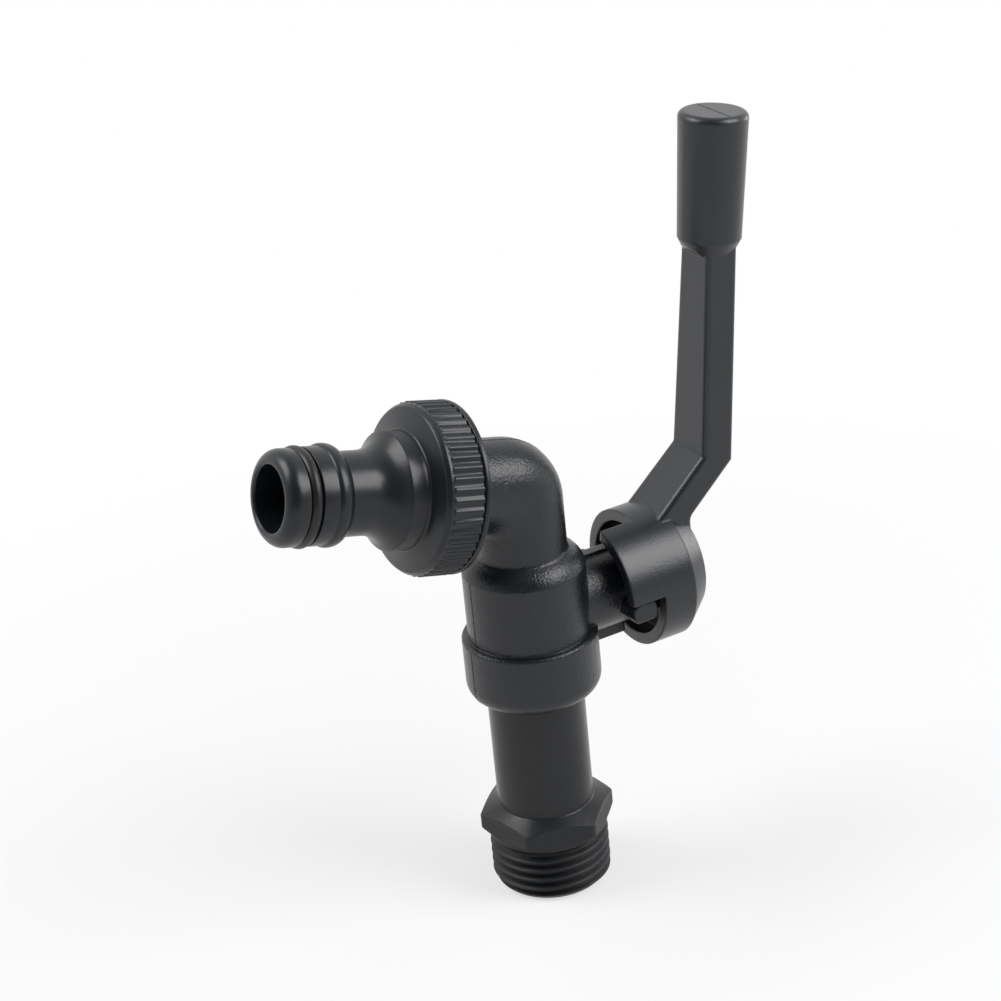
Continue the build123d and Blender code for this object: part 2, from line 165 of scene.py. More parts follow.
@dataclass(frozen=True)
class MouldedFinish:
    """A moulded surface: the grain of its mould, slow clouds of flow and softened edges."""

    name: str
    colour: str
    cloud_colour: str
    roughness: float
    roughness_swing: float
    ior: float
    grain_mm: float
    grain_depth_mm: float
    edge_mm: float
    cloud_mm: float = 7.0
    metallic: float = 0.0
    grain_octaves: float = 2.0
    grain_fineness: float = 0.55
    cloud_octaves: float = 3.0
    edge_samples: int = 6

    def material(self) -> bpy.types.Material:
        """Return the finish's material, made on its first use."""
        return bpy.data.materials.get(self.name) or self.make()

    def height(self, tree: bpy.types.NodeTree, place: bpy.types.NodeSocket) -> bpy.types.NodeSocket:
        """Add the pattern that stands on the surface.

        Args:
            tree: The material's node tree.
            place: Coordinates on the piece, in metres.

        Returns:
            The socket that holds the pattern's height, from zero to one.
        """
        grain = {
            "Scale": 1 / (self.grain_mm * MM),
            "Detail": self.grain_octaves,
            "Roughness": self.grain_fineness,
        }
        return add_node(tree, "ShaderNodeTexNoise", grain, {"Vector": place}).outputs["Fac"]

    def gloss(
        self, tree: bpy.types.NodeTree, place: bpy.types.NodeSocket, clouds: bpy.types.NodeSocket
    ) -> bpy.types.NodeSocket:
        """Add the slow change of the surface's roughness.

        Args:
            tree: The material's node tree.
            place: Coordinates on the piece, in metres; not used here.
            clouds: The pattern that it follows, from zero to one.

        Returns:
            The socket that holds the roughness.
        """
        swing = {
            "To Min": self.roughness - self.roughness_swing,
            "To Max": self.roughness + self.roughness_swing,
        }
        return add_node(tree, "ShaderNodeMapRange", swing, {"Value": clouds}).outputs["Result"]

    def make(self) -> bpy.types.Material:
        """Make the material's nodes.

        Returns:
            The new material.
        """
        material = bpy.data.materials.new(self.name)
        material.use_nodes = True
        tree = material.node_tree
        tree.nodes.clear()
        place = add_node(tree, "ShaderNodeTexCoord").outputs["Object"]
        clouds = add_node(
            tree,
            "ShaderNodeTexNoise",
            {"Scale": 1 / (self.cloud_mm * MM), "Detail": self.cloud_octaves},
            {"Vector": place},
        )
        tint = add_node(
            tree,
            "ShaderNodeMix",
            {
                "data_type": "RGBA",
                MIX_COLOUR_A: linear(self.colour),
                MIX_COLOUR_B: linear(self.cloud_colour),
            },
            {MIX_FACTOR: clouds.outputs["Fac"]},
        )
        soft_edge = add_node(
            tree, "ShaderNodeBevel", {"samples": self.edge_samples, "Radius": self.edge_mm * MM}
        )
        bump = add_node(
            tree,
            "ShaderNodeBump",
            {"Strength": 1.0, "Distance": self.grain_depth_mm * MM},
            {"Height": self.height(tree, place), "Normal": soft_edge.outputs["Normal"]},
        )
        surface = add_node(
            tree,
            "ShaderNodeBsdfPrincipled",
            {"IOR": self.ior, "Metallic": self.metallic},
            {
                "Base Color": tint.outputs[MIX_COLOUR_RESULT],
                "Roughness": self.gloss(tree, place, clouds.outputs["Fac"]),
                "Normal": bump.outputs["Normal"],
            },
        )
        add_node(tree, "ShaderNodeOutputMaterial", {}, {"Surface": surface.outputs["BSDF"]})
        return material


@dataclass(frozen=True)
class ThreadedFinish(MouldedFinish):
    """A moulded surface that turns dull towards its threaded lower end."""

    dull_top_mm: float = 5.5
    dull_bottom_mm: float = 2.5
    dull_roughness: float = 0.5

    def gloss(
        self, tree: bpy.types.NodeTree, place: bpy.types.NodeSocket, clouds: bpy.types.NodeSocket
    ) -> bpy.types.NodeSocket:
        """Add the roughness, higher on the thread and the hexagon.

        Args:
            tree: The material's node tree.
            place: Coordinates on the piece, in metres.
            clouds: The pattern that the upper end follows.

        Returns:
            The socket that holds the roughness.
        """
        upper = super().gloss(tree, place, clouds)
        height = add_node(tree, "ShaderNodeSeparateXYZ", {}, {0: place}).outputs["Z"]
        heights = {"From Min": self.dull_bottom_mm * MM, "From Max": self.dull_top_mm * MM}
        lower_end = {"To Min": self.dull_roughness}
        return add_node(
            tree, "ShaderNodeMapRange", heights | lower_end, {"Value": height, "To Max": upper}
        ).outputs["Result"]


@dataclass(frozen=True)
class TurnedFinish(MouldedFinish):
    """A surface cut on a lathe: fine rings a tool's feed apart in place of a mould's grain."""

    ring_waver: float = 0.3

    def height(self, tree: bpy.types.NodeTree, place: bpy.types.NodeSocket) -> bpy.types.NodeSocket:
        """Add the tool's rings about the inlet's axis.

        Args:
            tree: The material's node tree.
            place: Coordinates on the piece, in metres.

        Returns:
            The socket that holds the rings' height, from zero to one.
        """
        rings = {
            "wave_type": "RINGS",
            "rings_direction": "Z",
            "Scale": WAVE_STEP / (self.grain_mm * MM),
            "Distortion": self.ring_waver,
        }
        return add_node(tree, "ShaderNodeTexWave", rings, {"Vector": place}).outputs["Fac"]


# The grain of a real mould is finer than the render can show, so each grain below is drawn
# coarser than life.

# Glass-filled nylon from a spark-eroded mould: near black, satin, with a deep grain that
# breaks the highlights of the shoulder, the elbow and the neck into small sparks.
BODY_NYLON = MouldedFinish(
    name="black_nylon_spark_eroded",
    colour="#15181d",
    cloud_colour="#1a1d22",
    roughness=0.27,
    roughness_swing=0.03,
    ior=1.46,
    grain_mm=0.40,
    grain_depth_mm=0.105,
    edge_mm=0.5,
)

# The same nylon from a smoother, vapour-blasted mould: an even satin with long soft highlights
# on the tube, and a duller thread and hexagon from a mould insert that was left as cut.
TAILPIECE_NYLON = ThreadedFinish(
    name="black_nylon_vapour_blasted",
    colour="#15171a",
    cloud_colour="#191b1e",
    roughness=0.25,
    roughness_swing=0.03,
    ior=1.40,
    grain_mm=0.40,
    grain_depth_mm=0.030,
    edge_mm=0.2,
)

# Nylon with an even matt grain for a dry hold: its faces read as flat greys with soft edges.
LEVER_NYLON = MouldedFinish(
    name="black_nylon_matt_grain",
    colour="#171a1f",
    cloud_colour="#1c1f24",
    roughness=0.30,
    roughness_swing=0.03,
    ior=1.50,
    grain_mm=0.35,
    grain_depth_mm=0.035,
    edge_mm=0.6,
)

# Acetal copolymer from a polished mould: darker and smoother, with clear bright lines on edges.
ADAPTOR_ACETAL = MouldedFinish(
    name="black_acetal_polished_mould",
    colour="#13161b",
    cloud_colour="#171a1f",
    roughness=0.30,
    roughness_swing=0.03,
    ior=1.42,
    grain_mm=0.40,
    grain_depth_mm=0.012,
    edge_mm=0.1,
)

# Nitrile rubber as moulded: dark, matt and slightly clouded by the bloom of its plasticiser.
SEAL_NITRILE = MouldedFinish(
    name="nitrile_rubber_moulded",
    colour="#0f1012",
    cloud_colour="#141517",
    roughness=0.38,
    roughness_swing=0.05,
    ior=1.44,
    grain_mm=0.20,
    grain_depth_mm=0.010,
    edge_mm=0.1,
    cloud_mm=2.5,
)

# PTFE turned from bar: waxy white, with the rings of a fine feed drawn coarse enough to show.
SEAT_PTFE = TurnedFinish(
    name="ptfe_turned",
    colour="#e4e2da",
    cloud_colour="#edebe4",
    roughness=0.44,
    roughness_swing=0.05,
    ior=1.38,
    grain_mm=0.30,
    grain_depth_mm=0.008,
    edge_mm=0.1,
)

# Natural acetal, moulded and tumbled smooth: off-white with a soft gloss.
BALL_ACETAL = MouldedFinish(
    name="natural_acetal_tumbled",
    colour="#d9d6cb",
    cloud_colour="#e2dfd5",
    roughness=0.24,
    roughness_swing=0.04,
    ior=1.48,
    grain_mm=0.60,
    grain_depth_mm=0.006,
    edge_mm=0.1,
)

# Zinc plate over cold-formed steel: bright grey metal, faintly mottled by its passivation.
SCREW_ZINC = MouldedFinish(
    name="steel_zinc_plated",
    colour="#b4b7ba",
    cloud_colour="#c3c4bf",
    roughness=0.30,
    roughness_swing=0.06,
    ior=1.5,
    grain_mm=0.25,
    grain_depth_mm=0.006,
    edge_mm=0.1,
    cloud_mm=1.5,
    metallic=1.0,
)


# Meshes


@dataclass(frozen=True)
class TurningAxis:
    """A line that sections are turned about: where it starts, its direction and its zero angle."""

    origin: Vector
    along: Vector
    zero: Vector

    def point(self, along: float, radius: float, angle: float) -> Vector:
        """Return the point, in metres, at a place along the axis, a radius and an angle."""
        side = self.along.cross(self.zero)
        out = self.zero * math.cos(angle) + side * math.sin(angle)
        return (self.origin + self.along * along + out * radius) * MM


def joint_axis(name: str, zero: Vector) -> TurningAxis:
    """Find the axis of one of the part's hinges.

    Args:
        name: The hinge's name.
        zero: Direction of its zero angle.

    Returns:
        The axis, in millimetres.
    """
    joint = next(j for j in frame["joints"] if j["name"] == name)
    return TurningAxis(Vector(joint["pos_m"]) / MM, Vector(joint["axis"]).normalized(), zero)


def rounded(corners: Corners, steps: int = 4) -> Outline:
    """Round the inner corners of an open outline with arcs.

    Args:
        corners: Place along the axis, radius from it and rounding of each corner.
        steps: Straight steps in each arc.

    Returns:
        The points of the rounded outline.
    """
    path = [corners[0][:2]]
    for before, corner, after in zip(corners, corners[1:], corners[2:]):
        here = Vector(corner[:2])
        if not corner[2]:
            path.append(corner[:2])
            continue
        back = (Vector(before[:2]) - here).normalized()
        ahead = (Vector(after[:2]) - here).normalized()
        half = back.angle(ahead) / 2
        centre = here + (back + ahead).normalized() * (corner[2] / math.sin(half))
        reach = corner[2] / math.tan(half)
        first = here + back * reach - centre
        last = here + ahead * reach - centre
        sweep = first.angle(last)
        for step in range(steps + 1):
            share = step / steps
            spoke = first * math.sin((1 - share) * sweep) + last * math.sin(share * sweep)
            path.append(tuple(centre + spoke / math.sin(sweep)))
    path.append(corners[-1][:2])
    return path


def tangent_arc(start: tuple[float, float], end: tuple[float, float], steps: int = 10) -> Outline:
    """Draw the arc that leaves its start parallel to the axis.

    Args:
        start: Place along the axis and radius where the arc is parallel to it.
        end: Place along the axis and radius where the arc stops.
        steps: Straight steps in the arc.

    Returns:
        The arc's points, both ends included.
    """
    run = end[0] - start[0]
    rise = end[1] - start[1]
    curve = (run * run + rise * rise) / (2 * rise)
    sweep = math.acos(1 - rise / curve)
    turns = [sweep * step / steps for step in range(steps + 1)]
    way = math.copysign(abs(curve), run)
    return [(start[0] + way * math.sin(t), start[1] + curve * (1 - math.cos(t))) for t in turns]


def mesh_piece(
    name: str, points: Sequence[Vector], faces: Sequence[Sequence[int]]
) -> bpy.types.Object:
    """Make a clean, smooth-shaded mesh object with sharp edges kept.

    Args:
        name: The piece's name.
        points: Its points, in metres.
        faces: Its faces, as places in the list of points.

    Returns:
        The new object.
    """
    mesh = bpy.data.meshes.new(name)
    mesh.from_pydata(points, [], faces)
    work = bmesh.new()
    work.from_mesh(mesh)
    bmesh.ops.remove_doubles(work, verts=work.verts, dist=MERGE_DISTANCE)
    bmesh.ops.dissolve_degenerate(work, edges=work.edges, dist=MERGE_DISTANCE)
    bmesh.ops.recalc_face_normals(work, faces=work.faces)
    work.to_mesh(mesh)
    work.free()
    mesh.shade_smooth()
    mesh.set_sharp_from_angle(angle=math.radians(SHARP_EDGE_DEG))
    piece = bpy.data.objects.new(name, mesh)
    bpy.context.scene.collection.objects.link(piece)
    return piece


def turned(name: str, axis: TurningAxis, section: Section, columns: int) -> bpy.types.Object:
    """Turn a closed section about an axis; the section may change with the angle.

    Args:
        name: The piece's name.
        axis: The axis of turning.
        section: The section's points at an angle, as many at every angle.
        columns: Steps in the full turn.

    Returns:
        The new object.
    """
    points: list[Vector] = []
    for column in range(columns + 1):
        angle = math.tau * column / columns
        points.extend(axis.point(along, radius, angle) for along, radius in section(angle))
    rows = len(points) // (columns + 1)
    faces = [
        (c * rows + r, (c + 1) * rows + r, (c + 1) * rows + (r + 1) % rows, c * rows + (r + 1) % rows)
        for c in range(columns)
        for r in range(rows)
    ]
    return mesh_piece(name, points, faces)


def bead(
    name: str, path: Sequence[Vector], outward: Sequence[Vector], width: float, height: float
) -> bpy.types.Object:
    """Lay a fine half-round bead along a surface, its foot sunk in it.

    Args:
        name: The piece's name.
        path: Points on the surface, in millimetres.
        outward: The surface's direction at each point.
        width: Width of the bead.
        height: How far it stands out.

    Returns:
        The new object.
    """
    count = len(BEAD_SECTION)
    points: list[Vector] = []
    for index, (place, out) in enumerate(zip(path, outward)):
        before = path[max(index - 1, 0)]
        after = path[min(index + 1, len(path) - 1)]
        across = (after - before).cross(out).normalized()
        points.extend(
            (place + across * (side * width) + out * (rise * height)) * MM for side, rise in BEAD_SECTION
        )
    faces: list[tuple[int, ...]] = [
        (i * count + j, i * count + (j + 1) % count, (i + 1) * count + (j + 1) % count, (i + 1) * count + j)
        for i in range(len(path) - 1)
        for j in range(count)
    ]
    last = (len(path) - 1) * count
    faces.append(tuple(range(count)))
    faces.append(tuple(range(last, last + count)))
    return mesh_piece(name, points, faces)


def place_piece(piece: bpy.types.Object, body: Body, finish: MouldedFinish) -> None:
    """Dress a piece and let it ride on a body.

    Args:
        piece: The piece.
        body: The body that it moves with.
        finish: Its finish.
    """
    piece.data.materials.append(finish.material())
    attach(piece, body.value)
    log.info("%s: %d faces, rides on %s", piece.name, len(piece.data.polygons), body.value)


def dress_node(name: str, finish: MouldedFinish) -> None:
    """Give one of the frame's own solids its finish.

    Args:
        name: The solid's name.
        finish: Its finish.
    """
    frame["nodes"][name].material_slots[0].material = finish.material()
    log.info("%s: dressed in %s", name, finish.name)


# Pieces


@dataclass
class InletTailpiece:
    """The inlet: a pipe thread, a band, a coned hexagon and the tube that plugs into the collar."""

    thread_radius: float = 10.4775
    thread_depth: float = 1.162
    thread_pitch: float = 1.814
    thread_length: float = 10.9
    thread_lead_in: float = 1.4
    thread_relief: float = 0.3
    thread_start_turns: float = 0.22
    thread_rows: int = 14
    crest_sharpness: float = 1.4
    band_height: float = 0.8
    band_round: float = 0.2
    hexagon_apothem: float = 10.5
    hexagon_turn_deg: float = -17.5
    hexagon_corner_round: float = 1.1
    hexagon_corner_height: float = 3.1
    hexagon_cone_deg: float = 26.5
    hexagon_chamfer_deg: float = 30.0
    hexagon_upper_round: float = 0.22
    tube_radius: float = 8.45
    tube_foot_round: float = 0.35
    tube_top: float = 33.05
    groove_from: float = 28.5
    groove_to: float = 30.7
    groove_floor: float = 6.66
    bore_radius: float = 5.5
    bore_round: float = 0.4
    columns: int = 360

    def hexagon_radius(self, angle: float) -> float:
        """Measure the hexagon, with rounded corners, at an angle.

        Args:
            angle: Angle about the inlet's axis.

        Returns:
            Distance of the hexagon's side from the axis.
        """
        sixth = math.tau / 6
        off_corner = (angle - math.radians(self.hexagon_turn_deg) + sixth / 2) % sixth - sixth / 2
        corner_round = self.hexagon_corner_round
        centre = (self.hexagon_apothem - corner_round) / math.cos(sixth / 2)
        reach_out = centre + corner_round * math.cos(sixth / 2)
        if abs(off_corner) < math.atan2(corner_round * math.sin(sixth / 2), reach_out):
            across = centre * math.sin(off_corner)
            return centre * math.cos(off_corner) + math.sqrt(corner_round**2 - across**2)
        return self.hexagon_apothem / math.cos(sixth / 2 - abs(off_corner))

    def thread(self, angle: float) -> Outline:
        """Draw the thread's section at an angle; its rows climb one pitch in a full turn.

        Args:
            angle: Angle about the inlet's axis, from zero to a full turn.

        Returns:
            The thread's points, from its end up to the plain band under the hexagon.
        """
        root = self.thread_radius - self.thread_depth
        turns = math.ceil(self.thread_length / self.thread_pitch) + 1
        rows: Outline = []
        for row in range(turns * self.thread_rows + 1):
            climb = row / self.thread_rows + angle / math.tau - 1
            height = climb * self.thread_pitch - self.thread_length
            height = min(max(height, -self.thread_length), -self.band_height)
            # A rounded form close to the pipe thread's own, its crests narrower than its hollows
            turn = row / self.thread_rows + self.thread_start_turns
            crest = (0.5 + 0.5 * math.cos(math.tau * turn)) ** self.crest_sharpness
            lead_in = self.thread_radius - self.thread_lead_in + self.thread_length + height
            relief = root + max(0.0, -height - self.band_height - self.thread_relief)
            rows.append((height, min(root + self.thread_depth * crest, lead_in, relief)))
        return rows

    def section(self, angle: float) -> Outline:
        """Draw the tailpiece's whole section at an angle.

        Args:
            angle: Angle about the inlet's axis.

        Returns:
            The section's points, as a closed loop.
        """
        slope = math.tan(math.radians(self.hexagon_cone_deg))
        corner = self.hexagon_apothem / math.cos(math.tau / 12)
        side = self.hexagon_radius(angle)
        edge = self.hexagon_corner_height + (corner - side) * slope
        foot = self.hexagon_corner_height + (corner - self.tube_radius) * slope
        lower_edge = (side - self.thread_radius) * math.tan(math.radians(self.hexagon_chamfer_deg))
        end_radius = self.thread_radius - self.thread_lead_in
        end_face = rounded(
            (
                (self.tube_top, self.bore_radius, 0.0),
                (-self.thread_length, self.bore_radius, self.bore_round),
                (-self.thread_length, end_radius, 0.0),
            )
        )
        upper = rounded(
            (
                (-self.band_height, self.thread_radius - self.thread_depth, 0.0),
                (-self.band_height, self.thread_radius, self.band_round),
                (0.0, self.thread_radius, 0.0),
                (lower_edge, side, 0.0),
                (edge, side, self.hexagon_upper_round),
                (foot, self.tube_radius, self.tube_foot_round),
                (self.groove_from, self.tube_radius, 0.0),
                (self.groove_from, self.groove_floor, 0.0),
                (self.groove_to, self.groove_floor, 0.0),
                (self.groove_to, self.tube_radius, 0.0),
                (self.tube_top, self.tube_radius, 0.0),
            )
        )
        return end_face + self.thread(angle) + upper

    def build(self) -> None:
        """Build the tailpiece in place of its solid, and dress its seal ring."""
        axis = TurningAxis(Vector((0, 0, 0)), Vector((0, 0, 1)), Vector((1, 0, 0)))
        piece = turned("inlet_tailpiece_threaded", axis, self.section, self.columns)
        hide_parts("inlet_tailpiece")
        place_piece(piece, Body.VALVE, TAILPIECE_NYLON)
        dress_node("tailpiece_o_ring", SEAL_NITRILE)


@dataclass
class ValveBody:
    """The body's solid and its seats in their finishes, with its parting lines and outlet thread."""

    collar_radius: float = 11.75
    collar_bottom: float = 26.4
    collar_lower_round: float = 3.2
    collar_line_top: float = 37.3
    collar_line_start_deg: float = -75.0
    collar_line_steps: int = 5
    barrel_radius: float = 10.6
    barrel_line_from: float = 38.1
    barrel_line_to: float = 50.2
    line_width: float = 0.3
    line_height: float = 0.07
    elbow_radius: float = 7.8
    bend_radius: float = 4.0
    bend_height: float = 62.78
    bend_turn_deg: float = 75.9
    bend_steps: int = 12
    elbow_line_run: float = 9.9
    elbow_line_foot: float = 56.0
    outlet_thread_radius: float = 10.4775
    outlet_thread_from: float = 13.7
    outlet_thread_to: float = 17.8
    outlet_thread_pitch: float = 1.814
    outlet_thread_width: float = 0.8
    outlet_thread_height: float = 0.18
    outlet_thread_steps: int = 72

    def collar_line(self, side: int) -> bpy.types.Object:
        """Lay the parting line over the collar's rounded foot and up its wall.

        Args:
            side: -1 for the outlet's side, 1 for the lever's.

        Returns:
            The line's piece.
        """
        curve = self.collar_lower_round
        centre = Vector((side * (self.collar_radius - curve), 0, self.collar_bottom + curve))
        start = math.radians(self.collar_line_start_deg)
        steps = self.collar_line_steps
        leans = [start * (1 - step / steps) for step in range(steps + 1)]
        outward = [Vector((side * math.cos(lean), 0, math.sin(lean))) for lean in leans]
        path = [centre + out * curve for out in outward]
        path.append(Vector((side * self.collar_radius, 0, self.collar_line_top)))
        outward.append(outward[-1])
        name = "collar_parting_line_front" if side < 0 else "collar_parting_line_back"
        return bead(name, path, outward, self.line_width, self.line_height)

    def barrel_line(self) -> bpy.types.Object:
        """Return the parting line up the barrel, on the outlet's side."""
        ends = (self.barrel_line_from, self.barrel_line_to)
        path = [Vector((-self.barrel_radius, 0, height)) for height in ends]
        outward = [Vector((-1, 0, 0))] * len(path)
        return bead("barrel_parting_line", path, outward, self.line_width, self.line_height)

    def elbow_line(self) -> bpy.types.Object:
        """Lay the parting line along the elbow's outer side, from the cap over the bend and down.

        Returns:
            The line's piece.
        """
        centre = Vector((-self.bend_radius, 0, self.bend_height))
        full_turn = math.radians(self.bend_turn_deg)
        turns = [full_turn * (1 - step / self.bend_steps) for step in range(self.bend_steps + 1)]
        outward = [Vector((math.cos(turn), 0, math.sin(turn))) for turn in turns]
        path = [centre + out * (self.bend_radius + self.elbow_radius) for out in outward]
        along = Vector((-outward[0].z, 0, outward[0].x))
        path = [path[0] + along * self.elbow_line_run, *path, Vector((path[-1].x, 0, self.elbow_line_foot))]
        outward = [outward[0], *outward, outward[-1]]
        return bead("elbow_parting_line", path, outward, self.line_width, self.line_height)

    def outlet_thread(self) -> bpy.types.Object:
        """Wind the outlet's thread round its spigot.

        Returns:
            The thread's piece.
        """
        axis = joint_axis("adaptor_screw", Vector((0, 1, 0)))
        turns = (self.outlet_thread_to - self.outlet_thread_from) / self.outlet_thread_pitch
        count = math.ceil(turns * self.outlet_thread_steps)
        path: list[Vector] = []
        outward: list[Vector] = []
        for step in range(count + 1):
            share = step / count
            angle = math.tau * turns * share
            along = self.outlet_thread_from + self.outlet_thread_pitch * turns * share
            path.append(axis.point(along, self.outlet_thread_radius, angle) / MM)
            outward.append((axis.point(0, 1, angle) - axis.point(0, 0, 0)) / MM)
        return bead("outlet_thread", path, outward, self.outlet_thread_width, self.outlet_thread_height)

    def build(self) -> None:
        """Dress the body and its seats, and lay the parting lines and the outlet's thread."""
        dress_node("valve_body", BODY_NYLON)
        dress_node("inlet_seat", SEAT_PTFE)
        dress_node("outlet_seat", SEAT_PTFE)
        lines = [self.collar_line(-1), self.collar_line(1), self.barrel_line(), self.elbow_line()]
        for line in (*lines, self.outlet_thread()):
            place_piece(line, Body.VALVE, BODY_NYLON)


@dataclass
class HandleScrew:
    """The screw that holds the lever: a pan head with a cross recess on a plain shank."""

    tip: float = 12.0
    shank_radius: float = 1.6
    tip_round: float = 0.5
    seat: float = 26.6
    head_radius: float = 3.2
    head_height: float = 2.2
    head_round: float = 1.0
    recess_depth: float = 1.3
    recess_reach: float = 1.75
    recess_half_width: float = 0.42
    recess_wall: float = 0.35
    recess_rise: float = 0.35
    seat_round: float = 0.1
    crown_rows: int = 24
    columns: int = 120

    def recess(self, radius: float, angle: float) -> float:
        """Measure how deep the cross is sunk at a point of the crown.

        Args:
            radius: Distance from the screw's axis.
            angle: Angle about it.

        Returns:
            Depth below the crown.
        """
        across = min(abs(radius * math.cos(angle)), abs(radius * math.sin(angle)))
        wall = max(across - self.recess_half_width, radius - self.recess_reach)
        share = min(max(1 - wall / self.recess_wall, 0.0), 1.0)
        return self.recess_depth * share * (1 - self.recess_rise * radius / self.head_radius)

    def section(self, angle: float) -> Outline:
        """Draw the screw's section at an angle.

        Args:
            angle: Angle about the screw's axis.

        Returns:
            The section's points, as a closed loop that meets the axis at both ends.
        """
        top = self.seat + self.head_height
        flat = self.head_radius - self.head_round
        side = rounded(
            (
                (self.tip, 0.0, 0.0),
                (self.tip, self.shank_radius, self.tip_round),
                (self.seat, self.shank_radius, 0.0),
                (self.seat, self.head_radius, self.seat_round),
                (top, self.head_radius, self.head_round),
                (top, flat, 0.0),
            )
        )
        radii = [flat * (1 - row / self.crown_rows) for row in range(1, self.crown_rows + 1)]
        return side + [(top - self.recess(radius, angle), radius) for radius in radii]

    def build(self) -> None:
        """Build the screw in place of its solid."""
        axis = joint_axis("lever_turn", Vector((0, 1, 0)))
        outward = TurningAxis(axis.origin, -axis.along, axis.zero)
        piece = turned("handle_screw_pan_head", outward, self.section, self.columns)
        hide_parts("handle_screw")
        place_piece(piece, Body.HANDLE, SCREW_ZINC)


@dataclass
class LeverHandle:
    """The lever's solid in its finish, with its grip's parting line, and the stem that it turns."""

    foot: tuple[float, float, float] = (37.4, 0.0, 60.25)
    lean_deg: float = 6.3
    grip_end: float = 60.4
    line_reach: float = 4.8
    line_width: float = 0.25
    line_height: float = 0.06

    def grip_line(self) -> bpy.types.Object:
        """Return the parting line across the grip's top."""
        lean = math.radians(self.lean_deg)
        upward = Vector((math.sin(lean), 0, math.cos(lean)))
        top = Vector(self.foot) + upward * self.grip_end
        path = [top + Vector((0, side * self.line_reach, 0)) for side in (-1, 1)]
        return bead("grip_parting_line", path, [upward] * len(path), self.line_width, self.line_height)

    def build(self) -> None:
        """Dress the lever, the stem, the ball and their seals, and lay the grip's line."""
        dress_node("lever_handle", LEVER_NYLON)
        for name in ("stem", "ball"):
            dress_node(name, BALL_ACETAL)
        dress_node("stem_washer", SEAT_PTFE)
        for name in ("stem_inner_o_ring", "stem_outer_o_ring"):
            dress_node(name, SEAL_NITRILE)
        place_piece(self.grip_line(), Body.HANDLE, LEVER_NYLON)


